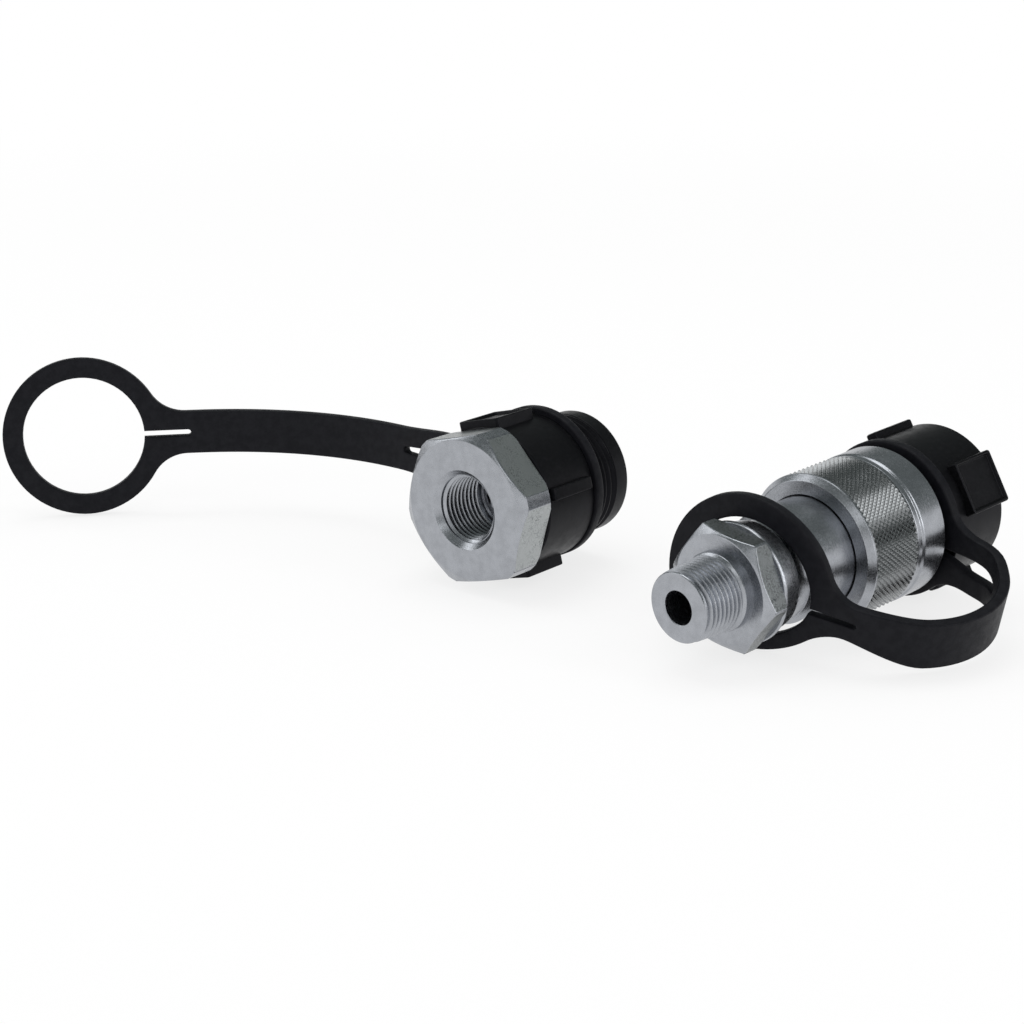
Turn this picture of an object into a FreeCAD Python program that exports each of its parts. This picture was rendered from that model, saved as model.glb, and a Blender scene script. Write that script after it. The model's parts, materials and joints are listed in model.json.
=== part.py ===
import FreeCAD, Part
import Sketcher
import math
import os
import re

# Screw-to-connect hydraulic coupler, shown apart: the female half, the male half with its
# knurled collar, and a dust cap and a rubber strap on each. Each half is drawn about its own
# Y axis, with station 0 at its port end, and then laid on the floor. Millimetres, +Z up.

Vector = FreeCAD.Vector
Placement = FreeCAD.Placement
Rotation = FreeCAD.Rotation
X_AXIS = Vector(1, 0, 0)
Y_AXIS = Vector(0, 1, 0)
Z_AXIS = Vector(0, 0, 1)

doc = FreeCAD.newDocument("coupler")

DIMENSIONS = {
    # female body: hexagon, port, external screw, pilot and socket
    "female_hex": 34.0, "female_bar": 18.85, "female_hex_length": 9.9, "female_face": 16.5,
    "female_rear_chamfer": 0.8, "port_bore": 7.34, "port_length": 14.4, "port_sink": 9.4,
    "screw_radius": 14.95, "screw_relief": 14.0, "screw_relief_width": 1.4, "screw_end": 25.0,
    "screw_chamfer": 0.7, "pilot_radius": 12.4, "pilot_chamfer": 0.6, "female_length": 36.5,
    "socket_radius": 8.5, "socket_chamfer": 0.5, "female_seat": 27.0,
    # male body: threaded tail, hexagon, neck for the strap, barrel inside the collar
    "male_hex": 25.4, "male_bar": 14.6, "male_hex_start": 12.6, "male_hex_length": 5.4,
    "male_face": 12.2, "tail_bore": 3.73, "tail_radius": 8.2,
    "tail_length": 10.4, "tail_chamfer": 0.6, "shank_radius": 8.75,
    "washer_radius": 13.6, "washer_length": 0.9, "shoulder_radius": 12.3,
    "neck_start": 23.8, "neck_radius": 11.5, "neck_end": 28.4,
    "barrel_radius": 12.8, "barrel_end": 47.8, "male_chamber_length": 2.9, "male_bore": 8.55,
    # nose insert that closes the male half
    "nose_shank": 8.5, "nose_flange": 10.8, "nose_flange_width": 1.1,
    "probe_radius": 8.3, "probe_end": 55.2, "probe_chamfer": 0.8, "male_seat": 50.1,
    "nose_mouth": 5.4,
    # valve of either half
    "chamber_radius": 7.1, "throat_radius": 4.2, "throat_length": 0.5,
    "poppet_radius": 5.9, "poppet_back": 2.6, "poppet_land": 3.4, "poppet_gap": 0.14,
    "pin_radius": 1.6, "pin_length": 1.9, "stem_radius": 1.4, "stem_length": 9.2,
    "tip_chamfer": 0.3, "guide_back": 11.15, "guide_width": 2.15, "female_guide_radius": 7.0,
    "male_guide_radius": 8.4, "guide_hub": 2.4, "hub_height": 1.0, "hub_bore": 1.45,
    "flow_hole": 1.45, "flow_circle": 4.6, "spring_radius": 3.4, "spring_wire": 0.45,
    "spring_turns": 4.0, "poppet_seal_wire": 0.6, "seal_proud": 0.05, "seal_room": 0.05,
    "clip_groove": 8.0, "clip_width": 1.0, "clip_inner": 5.8, "clip_gap": 35.0,
    # socket seal, its backup ring and the static seal under the nose
    "probe_seal_wire": 0.9, "probe_seal_depth": 3.3, "seal_groove_depth": 1.75,
    "backup_width": 0.9, "ring_room": 0.05, "static_seal_wire": 0.5, "seal_offset": 0.2, "static_recess": 1.2,
    "static_recess_radius": 10.3,
    # knurled collar and the wire it turns on
    "collar_radius": 17.5, "collar_start": 41.8, "collar_end": 67.5, "collar_run": 0.25,
    "collar_face": 17.0, "collar_chamfer": 1.3, "collar_lip": 5.6, "collar_screw": 15.3,
    "mouth_chamfer": 0.7, "rim_chamfer": 0.5, "knurl_start": 43.6, "knurl_end": 58.4,
    "knurl_depth": 0.2, "waist_radius": 17.05, "waist_width": 1.3,
    "wire_station": 45.2, "wire_radius": 0.7, "wire_room": 0.15, "wire_gap": 12.0,
    # dust cap
    "cap_radius": 17.5, "cap_cup": 15.3, "cup_depth": 15.4, "grip_length": 16.4,
    "grip_chamfer": 0.5, "core_clear": 4.55, "spigot_radius": 15.0, "spigot_root": 14.45,
    "spigot_core": 12.75, "spigot_wall": 2.0, "spigot_chamfer": 0.8, "groove_radius": 14.2,
    "groove_width": 3.0, "ridge_pitch": 2.2, "ridge_crest": 0.7, "plain_band": 3.4,
    "lug_reach": 19.05, "lug_width": 12.3, "lug_length": 13.0, "lug_border": 1.1,
    "lug_recess": 0.7, "rib_reach": 19.3, "rib_width": 3.0, "rib_length": 13.6,
    "rib_chamfer": 0.6, "lug_sink": 1.0,
    # strap: the loop goes round a coupler body, the seat ring round its own cap
    "strap_width": 11.2, "strap_thick": 2.5, "loop_outer": 20.5, "loop_hole": 15.4,
    "seat_outer": 19.4, "seat_hole": 14.9, "flare_radius": 10.0, "flare_tail": 0.5, "slit_width": 2.3,
    "slit_length": 12.0, "seat_slit_length": 18.6,
    # how the halves and straps lie
    "clocking": 15.0, "cap_gap": 0.15, "seat_play": 0.1, "strap_raise": 0.45,
    "male_right": 68.3, "male_forward": 10.3, "male_yaw": 7.2, "male_rise": 3.55,
    "male_height": 15.6, "cap_room": 0.7, "male_cap_clock": 60.7,
    "female_run_out": 45.0, "female_bend": 68.7, "female_turn": 50.3, "female_run_back": 27.3,
    "strap_drop": 18.01, "strap_skew": 2.54, "strap_sag": -0.31,
    "male_run_out": 25.5, "first_bend": 5.0, "first_turn": 37.38, "side_run": 3.65,
    "second_bend": 20.15, "second_turn": 125.35, "male_run_back": 26.59,
    "fold_radius": 3.0, "fold_turn": 88,
}

FLOW_HOLES = 6       # holes through a valve guide
LUGS = 2             # wide lugs on a cap, and as many narrow ribs between them
FOLD_STEPS = 14      # flat facets round the folded part of a loop

sizes = doc.addObject("Spreadsheet::Sheet", "Sizes")
for row, (alias, value) in enumerate(DIMENSIONS.items(), start=1):
    sizes.set("A%d" % row, alias)
    sizes.set("B%d" % row, str(value))
    sizes.setAlias("B%d" % row, alias)
doc.recompute()


def worked(expression):
    """The number that an expression in sheet names gives."""
    return float(sizes.evalExpression(expression))


def bound(expression):
    """The same expression, as another object has to write it."""
    return re.sub(r"[a-z_]+", lambda word: ("Sizes." if word.group(0) in DIMENSIONS else "")
                  + word.group(0), expression)


# Sketch and feature helpers

def origin_feature(body, role):
    return next(item for item in body.Origin.OriginFeatures if item.Role == role)


def sketch_in(body, name, role, station=None):
    """A sketch on an origin plane; a station moves one on the cross plane along +Y."""
    sketch = body.newObject("Sketcher::SketchObject", name)
    sketch.AttachmentSupport = [(origin_feature(body, role), "")]
    sketch.MapMode = "FlatFace"
    if station is not None:
        sketch.setExpression("AttachmentOffset.Base.z", bound("-(%s)" % station))
    return sketch


def hold(sketch, kind, references, expression):
    """One dimension of a sketch, driven by the sheet."""
    index = sketch.addConstraint(Sketcher.Constraint(kind, *references, worked(expression)))
    sketch.setExpression("Constraints[%d]" % index, bound(expression))


def add_outline(sketch, corners):
    """Closed outline of straight edges, each corner held by its two expressions."""
    points = [Vector(worked(across), worked(along), 0) for across, along in corners]
    first = sketch.GeometryCount
    for index, point in enumerate(points):
        following = points[(index + 1) % len(points)]
        sketch.addGeometry(Part.LineSegment(point, following), False)
    for index, (across, along) in enumerate(corners):
        line = first + index
        before = first + (index - 1) % len(corners)
        sketch.addConstraint(Sketcher.Constraint("Coincident", before, 2, line, 1))
        hold(sketch, "DistanceX", (-1, 1, line, 1), across)
        hold(sketch, "DistanceY", (-1, 1, line, 1), along)


def add_circle(sketch, across, along, radius):
    """Circle held by its centre and radius."""
    centre = Vector(worked(across), worked(along), 0)
    circle = sketch.addGeometry(Part.Circle(centre, Z_AXIS, worked(radius)), False)
    hold(sketch, "DistanceX", (-1, 1, circle, 3), across)
    hold(sketch, "DistanceY", (-1, 1, circle, 3), along)
    hold(sketch, "Radius", (circle,), radius)


def revolve(body, name, sketch, kind="PartDesign::Revolution", angle="360"):
    turning = body.newObject(kind, name)
    turning.Profile = sketch
    turning.ReferenceAxis = (sketch, ["V_Axis"])
    turning.setExpression("Angle", bound(angle))
    return turning


def turned(name, corners):
    """Body turned about the Y axis from an outline of (radius, station) corners."""
    body = doc.addObject("PartDesign::Body", name)
    sketch = sketch_in(body, name + "_outline", "XY_Plane")
    add_outline(sketch, corners)
    revolve(body, name + "_turning", sketch)
    return body


def ring(name, radius, station, wire, angle="360"):
    """Round-section ring."""
    body = doc.addObject("PartDesign::Body", name)
    sketch = sketch_in(body, name + "_section", "XY_Plane")
    add_circle(sketch, radius, station, wire)
    revolve(body, name + "_turning", sketch, angle=angle)
    return body


def round_groove(body, name, radius, station, wire):
    """Round-bottomed groove turned into a body."""
    sketch = sketch_in(body, name + "_section", "XY_Plane")
    add_circle(sketch, radius, station, wire)
    doc.recompute()
    revolve(body, name, sketch, kind="PartDesign::Groove")


def feature(body, kind, name, sketch, length):
    """Pad or pocket from a cross sketch, over a length towards the rear."""
    doc.recompute()
    item = body.newObject("PartDesign::" + kind, name)
    item.Profile = sketch
    item.setExpression("Length", bound(length))
    item.Reversed = kind == "Pad"
    doc.recompute()
    return item


def repeat(body, name, original, count):
    """The same feature again, evenly round the Y axis."""
    pattern = body.newObject("PartDesign::PolarPattern", name)
    pattern.Originals = [original]
    pattern.Axis = (origin_feature(body, "Y_Axis"), [""])
    pattern.Angle = 360
    pattern.Occurrences = count
    body.Tip = pattern
    doc.recompute()


def cut_hexagon(body, name, across, start, length, clear):
    """Mills six flats, two of them square to Z, over a length of a turned bar."""
    before = body.Shape.Volume
    sketch = sketch_in(body, name + "_outline", "XZ_Plane", start)
    corner = "%s / 2 / cos(30)" % across
    add_outline(sketch, [("%s * cos(%d)" % (corner, 60 * k), "%s * sin(%d)" % (corner, 60 * k))
                         for k in range(6)])
    add_circle(sketch, "0", "0", clear)
    feature(body, "Pocket", name, sketch, length)
    if not body.Shape.Volume < before:
        raise ValueError("the flats of " + name + " cut nothing")


# Female half

FEMALE_SHOULDER = "(female_seat + chamber_radius - throat_radius + throat_length)"
CLIP_END = "(female_seat - guide_back - ring_room)"
CLIP_START = "(female_seat - guide_back - ring_room - clip_width)"
SOCKET_GROOVE = "(socket_radius + seal_groove_depth)"
SEAL_STATION = "(female_length - probe_seal_depth)"
GROOVE_FRONT = "(%s - probe_seal_wire - ring_room)" % SEAL_STATION
GROOVE_REAR = "(%s + probe_seal_wire + backup_width + 3 * ring_room)" % SEAL_STATION


def make_female_body():
    chamfer = "((female_bar - female_face) * tan(30))"
    relief_end = "(female_hex_length + screw_relief_width)"
    body = turned("female_body", [
        ("port_sink", "0"),
        ("female_face", "0"),
        ("female_bar", chamfer),
        ("female_bar", "female_hex_length - female_rear_chamfer"),
        ("female_bar - female_rear_chamfer", "female_hex_length"),
        ("screw_relief", "female_hex_length"),
        ("screw_relief", relief_end),
        ("screw_radius", relief_end + " + screw_radius - screw_relief"),
        ("screw_radius", "screw_end - screw_chamfer"),
        ("screw_radius - screw_chamfer", "screw_end"),
        ("pilot_radius", "screw_end"),
        ("pilot_radius", "female_length - pilot_chamfer"),
        ("pilot_radius - pilot_chamfer", "female_length"),
        ("socket_radius + socket_chamfer", "female_length"),
        ("socket_radius", "female_length - socket_chamfer"),
        ("socket_radius", GROOVE_REAR),
        (SOCKET_GROOVE, GROOVE_REAR),
        (SOCKET_GROOVE, GROOVE_FRONT),
        ("socket_radius", GROOVE_FRONT),
        ("socket_radius", FEMALE_SHOULDER),
        ("throat_radius", FEMALE_SHOULDER),
        ("throat_radius", FEMALE_SHOULDER + " - throat_length"),
        ("chamber_radius", "female_seat"),
        ("chamber_radius", CLIP_END + " + ring_room / 2"),
        ("clip_groove", CLIP_END + " + ring_room / 2"),
        ("clip_groove", CLIP_START + " - ring_room / 2"),
        ("chamber_radius", CLIP_START + " - ring_room / 2"),
        ("chamber_radius", "port_length"),
        ("port_bore", "port_length"),
        ("port_bore", "port_sink - port_bore"),
    ])
    doc.recompute()
    cut_hexagon(body, "female_flats", "female_hex", "0", "female_hex_length", "2 * female_bar")
    return body


def make_guide(name, seat, radius):
    """Spider that carries a poppet's stem, with flow holes round its hub."""
    front = "(%s - guide_back)" % seat
    rear = "(%s - guide_back + guide_width)" % seat
    body = turned(name, [
        ("hub_bore", front),
        (radius, front),
        (radius, rear),
        ("guide_hub", rear),
        ("guide_hub", rear + " + hub_height"),
        ("hub_bore", rear + " + hub_height"),
    ])
    doc.recompute()
    sketch = sketch_in(body, name + "_hole", "XZ_Plane", front)
    add_circle(sketch, "flow_circle", "0", "flow_hole")
    hole = feature(body, "Pocket", name + "_flow", sketch, "guide_width")
    repeat(body, name + "_holes", hole, FLOW_HOLES)
    return body


def make_spring(name, seat):
    """Open helix between the guide and the poppet's back."""
    body = doc.addObject("PartDesign::Body", name)
    sketch = sketch_in(body, name + "_wire", "XY_Plane")
    start = "%s - guide_back + guide_width + spring_wire + ring_room" % seat
    add_circle(sketch, "spring_radius", start, "spring_wire")
    height = "(guide_back - guide_width - poppet_back - 2 * spring_wire - 2 * ring_room)"
    helix = body.newObject("PartDesign::AdditiveHelix", name + "_helix")
    helix.Profile = sketch
    helix.ReferenceAxis = (sketch, ["V_Axis"])
    helix.Mode = 0
    helix.setExpression("Pitch", bound(height + " / spring_turns"))
    helix.setExpression("Height", bound(height))
    doc.recompute()
    return body


def make_poppet(name, seat):
    """Cone valve with a guided stem behind and the pin that its twin pushes in front."""
    back = "(%s - poppet_back)" % seat
    edge = "(%s + chamber_radius - poppet_radius - poppet_gap)" % seat
    land = "(%s + chamber_radius - poppet_land - poppet_gap)" % seat
    body = turned(name, [
        ("0", back + " - stem_length"),
        ("stem_radius - tip_chamfer", back + " - stem_length"),
        ("stem_radius", back + " - stem_length + tip_chamfer"),
        ("stem_radius", back),
        ("poppet_radius", back),
        ("poppet_radius", edge),
        ("poppet_land", land),
        ("pin_radius", land),
        ("pin_radius", land + " + pin_length - tip_chamfer"),
        ("pin_radius - tip_chamfer", land + " + pin_length"),
        ("0", land + " + pin_length"),
    ])
    radius, station = poppet_seal_centre(seat)
    round_groove(body, name + "_seal_groove", radius, station,
                 "poppet_seal_wire + seal_room")
    return body


def poppet_seal_centre(seat):
    """Middle of the cone, sunk so that the seal stands just proud of it."""
    sink = "(poppet_seal_wire - seal_proud) * cos(45)"
    middle = "((poppet_radius + poppet_land) / 2)"
    station = "%s + chamber_radius - poppet_gap - %s - %s" % (seat, middle, sink)
    return "%s - %s" % (middle, sink), station


def make_valve(half, seat, guide_radius):
    radius, station = poppet_seal_centre(seat)
    return [
        make_guide(half + "_valve_guide", seat, guide_radius),
        make_spring(half + "_valve_spring", seat),
        make_poppet(half + "_poppet", seat),
        ring(half + "_poppet_seal", radius, station, "poppet_seal_wire"),
    ]


def make_female_rings():
    """Clip that holds the guide in, and the seal and backup ring in the socket."""
    clip = doc.addObject("PartDesign::Body", "female_guide_clip")
    sketch = sketch_in(clip, "clip_section", "XY_Plane")
    add_outline(sketch, [
        ("clip_inner", CLIP_START),
        ("clip_groove - ring_room", CLIP_START),
        ("clip_groove - ring_room", CLIP_END),
        ("clip_inner", CLIP_END),
    ])
    revolve(clip, "clip_turning", sketch, angle="360 - clip_gap")
    seal = ring("female_socket_seal", SOCKET_GROOVE + " - probe_seal_wire - ring_room / 2",
                SEAL_STATION, "probe_seal_wire")
    backup_front = "(%s + probe_seal_wire + ring_room)" % SEAL_STATION
    backup = turned("female_backup_ring", [
        ("socket_radius + ring_room", backup_front),
        (SOCKET_GROOVE + " - ring_room", backup_front),
        (SOCKET_GROOVE + " - ring_room", backup_front + " + backup_width"),
        ("socket_radius + ring_room", backup_front + " + backup_width"),
    ])
    return [clip, seal, backup]


# Male half

MALE_STEP = "(male_seat - guide_back - ring_room)"
NOSE_START = "(male_seat - guide_back + guide_width + ring_room)"


def make_male_body():
    hex_end = "(male_hex_start + male_hex_length)"
    washer_end = "(male_hex_start + male_hex_length + washer_length)"
    cone_end = "(%s - male_chamber_length)" % MALE_STEP
    body = turned("male_body", [
        ("tail_bore", "0"),
        ("tail_radius - tail_chamfer", "0"),
        ("tail_radius", "tail_chamfer"),
        ("tail_radius", "tail_length"),
        ("shank_radius", "tail_length + shank_radius - tail_radius"),
        ("shank_radius", "male_hex_start"),
        ("male_face", "male_hex_start"),
        ("male_bar", "male_hex_start + (male_bar - male_face) * tan(30)"),
        ("male_bar", hex_end),
        ("washer_radius", hex_end),
        ("washer_radius", washer_end),
        ("shoulder_radius", washer_end),
        ("shoulder_radius", "neck_start"),
        ("neck_radius", "neck_start + shoulder_radius - neck_radius"),
        ("neck_radius", "neck_end"),
        ("barrel_radius", "neck_end + barrel_radius - neck_radius"),
        ("barrel_radius", "barrel_end"),
        ("static_recess_radius", "barrel_end"),
        ("static_recess_radius", "barrel_end - static_recess"),
        ("male_bore", "barrel_end - static_recess"),
        ("male_bore", MALE_STEP),
        ("chamber_radius", MALE_STEP),
        ("chamber_radius", cone_end),
        ("tail_bore", cone_end + " - chamber_radius + tail_bore"),
    ])
    doc.recompute()
    cut_hexagon(body, "male_flats", "male_hex", "male_hex_start", "male_hex_length",
                "2 * male_bar")
    round_groove(body, "barrel_wire_groove", "barrel_radius", "wire_station",
                 "wire_radius + wire_room")
    return body


def make_nose():
    """Screwed-in nose with the valve seat; its probe enters the other half's socket."""
    flange_end = "(barrel_end + nose_flange_width)"
    throat_start = "(male_seat + chamber_radius - throat_radius)"
    return turned("male_nose", [
        ("chamber_radius", NOSE_START),
        ("nose_shank", NOSE_START),
        ("nose_shank", "barrel_end"),
        ("nose_flange", "barrel_end"),
        ("nose_flange", flange_end),
        ("probe_radius", flange_end),
        ("probe_radius", "probe_end - probe_chamfer"),
        ("probe_radius - probe_chamfer", "probe_end"),
        ("nose_mouth", "probe_end"),
        ("throat_radius", throat_start + " + throat_length"),
        ("throat_radius", throat_start),
        ("chamber_radius", "male_seat"),
    ])


COLLAR_BORE = "(barrel_radius + collar_run)"


def make_collar():
    """Knurled nut with a captive lip at the front and the coupling screw at the rear."""
    waist_end = "(knurl_end + waist_width)"
    lip_end = "(collar_start + collar_lip)"
    body = turned("male_collar", [
        (COLLAR_BORE, "collar_start"),
        ("collar_face", "collar_start"),
        ("collar_radius", "collar_start + collar_chamfer"),
        ("collar_radius", "knurl_start"),
        ("collar_radius - knurl_depth", "knurl_start"),
        ("collar_radius - knurl_depth", "knurl_end"),
        ("waist_radius", "knurl_end + collar_radius - knurl_depth - waist_radius"),
        ("waist_radius", waist_end),
        ("collar_radius", waist_end + " + collar_radius - waist_radius"),
        ("collar_radius", "collar_end - rim_chamfer"),
        ("collar_radius - rim_chamfer", "collar_end"),
        ("collar_screw + mouth_chamfer", "collar_end"),
        ("collar_screw", "collar_end - mouth_chamfer"),
        ("collar_screw", "%s + collar_screw - %s" % (lip_end, COLLAR_BORE)),
        (COLLAR_BORE, lip_end),
    ])
    round_groove(body, "collar_wire_groove", "barrel_radius", "wire_station",
                 "wire_radius + wire_room")
    return body


def make_male_rings():
    """Wire that the collar turns on, and the static seal under the nose."""
    wire = ring("collar_wire", "barrel_radius", "wire_station", "wire_radius",
                "360 - wire_gap")
    seal = ring("male_nose_seal", "nose_shank + static_seal_wire + seal_offset",
                "barrel_end - static_recess / 2", "static_seal_wire")
    return [wire, seal]


# Dust cap: station 0 is the face that the strap's seat ring lies on

SPIGOT_END = "(female_length - female_hex_length - cap_gap - grip_length + core_clear + spigot_wall)"
MALE_CAP_SEAT = "(probe_end + cap_room + %s)" % SPIGOT_END


def make_cap(name):
    """Cup that screws over one half, with a spigot that screws into the other."""
    mouth = "(-grip_length)"
    threaded = "(%s - groove_width - spigot_chamfer - plain_band)" % SPIGOT_END
    ridges = int(worked(threaded + " / ridge_pitch"))
    ridge_corners = []
    for k in reversed(range(ridges)):
        foot = "(groove_width + %d * ridge_pitch)" % k
        ridge_corners += [
            ("spigot_root", foot + " + ridge_pitch"),
            ("spigot_radius", foot + " + ridge_pitch - (ridge_pitch - ridge_crest) / 2"),
            ("spigot_radius", foot + " + (ridge_pitch - ridge_crest) / 2"),
        ]
    band = "(groove_width + %d * ridge_pitch + spigot_radius - spigot_root)" % ridges
    body = turned(name, [
        ("0", SPIGOT_END),
        ("spigot_radius - spigot_chamfer", SPIGOT_END),
        ("spigot_radius", SPIGOT_END + " - spigot_chamfer"),
        ("spigot_radius", band),
    ] + ridge_corners + [
        ("spigot_root", "groove_width"),
        ("groove_radius", "groove_width"),
        ("groove_radius", "0"),
        ("cap_radius", "0"),
        ("cap_radius", mouth + " + grip_chamfer"),
        ("cap_radius - grip_chamfer", mouth),
        ("cap_cup", mouth),
        ("cap_cup", mouth + " + cup_depth"),
        ("spigot_core", mouth + " + cup_depth"),
        ("spigot_core", SPIGOT_END + " - spigot_wall"),
        ("0", SPIGOT_END + " - spigot_wall"),
    ])
    doc.recompute()
    root = "(cap_radius - lug_sink)"
    start = mouth + " + grip_chamfer"

    lug = sketch_in(body, name + "_lug_outline", "XZ_Plane", start)
    add_outline(lug, [
        ("-lug_width / 2", root),
        ("lug_width / 2", root),
        ("lug_width / 2", "lug_reach"),
        ("-lug_width / 2", "lug_reach"),
    ])
    lug_pad = feature(body, "Pad", name + "_lug", lug, "lug_length")
    repeat(body, name + "_lugs", lug_pad, LUGS)

    recess = sketch_in(body, name + "_recess_outline", "XZ_Plane", start + " + lug_border")
    add_outline(recess, [
        ("-lug_width / 2 + lug_border", "lug_reach - lug_recess"),
        ("lug_width / 2 - lug_border", "lug_reach - lug_recess"),
        ("lug_width / 2 - lug_border", "lug_reach + lug_sink"),
        ("-lug_width / 2 + lug_border", "lug_reach + lug_sink"),
    ])
    recess_cut = feature(body, "Pocket", name + "_recess", recess,
                         "lug_length - 2 * lug_border")
    repeat(body, name + "_recesses", recess_cut, LUGS)

    rib = sketch_in(body, name + "_rib_outline", "XZ_Plane", start)
    add_outline(rib, [
        (root, "-rib_width / 2"),
        ("rib_reach - rib_chamfer", "-rib_width / 2"),
        ("rib_reach", "-rib_width / 2 + rib_chamfer"),
        ("rib_reach", "rib_width / 2 - rib_chamfer"),
        ("rib_reach - rib_chamfer", "rib_width / 2"),
        (root, "rib_width / 2"),
    ])
    rib_pad = feature(body, "Pad", name + "_rib", rib, "rib_length")
    repeat(body, name + "_ribs", rib_pad, LUGS)
    return body


# Straps: flat moulded rubber, bent about lines across their width

def flare_end(outer):
    """Distance from a ring's centre at which its flare has run out into the strap."""
    flare, half = worked("flare_radius"), worked("strap_width") / 2
    return math.sqrt((outer + flare) ** 2 - (half + flare) ** 2)


def ring_plate(outer, hole):
    """Flat ring across the Y axis, with the flared root of a strap leaving along +X."""
    thick, half = worked("strap_thick"), worked("strap_width") / 2
    flare, root = worked("flare_radius"), flare_end(outer)
    end = root + worked("flare_tail")
    share = outer / (outer + flare)

    def flare_arc(side):
        centre = Vector(root, 0, side * (half + flare))
        meet, leave = centre * share, Vector(root, 0, side * half)
        middle = (meet + leave) * 0.5 - centre
        middle.normalize()
        return meet, Part.Arc(meet, centre + middle * flare, leave).toShape()

    upper, upper_flare = flare_arc(1)
    lower, lower_flare = flare_arc(-1)
    edges = [
        Part.Arc(upper, Vector(-outer, 0, 0), lower).toShape(),
        lower_flare,
        Part.makeLine(Vector(root, 0, -half), Vector(end, 0, -half)),
        Part.makeLine(Vector(end, 0, -half), Vector(end, 0, half)),
        Part.makeLine(Vector(end, 0, half), Vector(root, 0, half)),
        upper_flare,
    ]
    face = Part.Face(Part.Wire(Part.__sortEdges__(edges)))
    face.translate(Vector(0, -thick / 2, 0))
    plate = face.extrude(Vector(0, thick, 0))
    return plate.cut(Part.makeCylinder(hole, 2 * thick, Vector(0, -thick, 0), Y_AXIS))


def slit_cutter(hole, length):
    """Slit from a ring's hole into its strap, with a rounded end."""
    thick, slit = worked("strap_thick"), worked("slit_width")
    straight = hole + length - slit / 2
    box = Part.makeBox(straight, 2 * thick, slit, Vector(0, -thick, -slit / 2))
    return box.fuse(Part.makeCylinder(slit / 2, 2 * thick, Vector(straight, -thick, 0),
                                      Y_AXIS))


def strap_section(place):
    """Outline of the strap's section where its line passes a place."""
    thick, half = worked("strap_thick") / 2, worked("strap_width") / 2
    corners = [place.multVec(Vector(0, across, height)) for across, height in
               ((-thick, -half), (thick, -half), (thick, half), (-thick, half))]
    return Part.makePolygon(corners + corners[:1])


def ribbon(start, runs, twist):
    """Strap solids along straight runs and bends towards -Y, and the place of their end.

    The second run turns about its own line by the twist, as slack rubber does.
    """
    here = Placement(Vector(start, 0, 0), Rotation())
    solids = []
    for index, (length, radius, turn) in enumerate(runs):
        turning = Rotation(X_AXIS, twist if index == 1 else 0)
        beyond = here * Placement(Vector(length, 0, 0), turning)
        solids.append(Part.makeLoft([strap_section(here), strap_section(beyond)], True, True))
        here = beyond
        if turn:
            centre = here.multVec(Vector(0, -radius, 0))
            axis = here.Rotation.multVec(-Z_AXIS)
            solids.append(Part.Face(strap_section(here)).revolve(centre, axis, turn))
            here = Placement(centre, Rotation(axis, turn)) * Placement(-centre, Rotation()) * here
    return solids, here


def folded_loop(plate, place, tilt):
    """Loop whose lowest part is folded forward, its edge touching the floor.

    In the loop's own frame the floor's direction lies at a tilt from -Z towards +X, and
    the fold turns towards -Y. The crease is where the fold's edge just reaches the floor.
    """
    outer, hole = worked("loop_outer"), worked("loop_hole")
    half, radius = worked("strap_thick") / 2, worked("fold_radius")
    turn, tilt = math.radians(worked("fold_turn")), math.radians(tilt)
    down = Vector(math.sin(tilt), 0, -math.cos(tilt))
    side = Vector(math.cos(tilt), 0, math.sin(tilt))
    front = -Y_AXIS
    down_rise = place.Rotation.multVec(down).z
    front_rise = place.Rotation.multVec(front).z
    straight = outer - radius * turn
    drop = (radius + half) * math.sin(turn) + straight * math.cos(turn)
    reach = radius - (radius + half) * math.cos(turn) + straight * math.sin(turn)
    slope = down_rise * (1 - math.cos(turn)) - front_rise * math.sin(turn)
    crease = -(place.Base.z + down_rise * drop + front_rise * reach) / slope
    limit = math.acos(crease / outer) + math.radians(1)

    def folded(distance, angle, offset):
        depth = distance * math.cos(angle)
        bend = min(max(depth - crease, 0) / radius, turn)
        beyond = max(depth - crease - radius * turn, 0)
        sunk = min(depth, crease) + radius * math.sin(bend) + beyond * math.cos(bend)
        forward = radius * (1 - math.cos(bend)) + beyond * math.sin(bend)
        point = side * (distance * math.sin(angle)) + down * sunk + front * forward
        return point + front * (offset * math.cos(bend)) - down * (offset * math.sin(bend))

    def section(angle):
        corners = [folded(hole, angle, half), folded(outer, angle, half),
                   folded(outer, angle, -half), folded(hole, angle, -half)]
        return Part.makePolygon(corners + corners[:1])

    sections = [section(limit * (2.0 * k / FOLD_STEPS - 1)) for k in range(FOLD_STEPS + 1)]
    fold = Part.makeLoft(sections, True, True)
    fan = [(side * math.sin(limit * k) + down * math.cos(limit * k)) * (2 * outer)
           for k in (-1, -0.5, 0, 0.5, 1)]
    corners = [Vector(0, 0, 0)] + fan
    wedge = Part.Face(Part.makePolygon(corners + corners[:1]))
    wedge.translate(Y_AXIS * (-2 * half))
    return [plate.cut(wedge.extrude(Y_AXIS * (4 * half))), fold]


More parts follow.
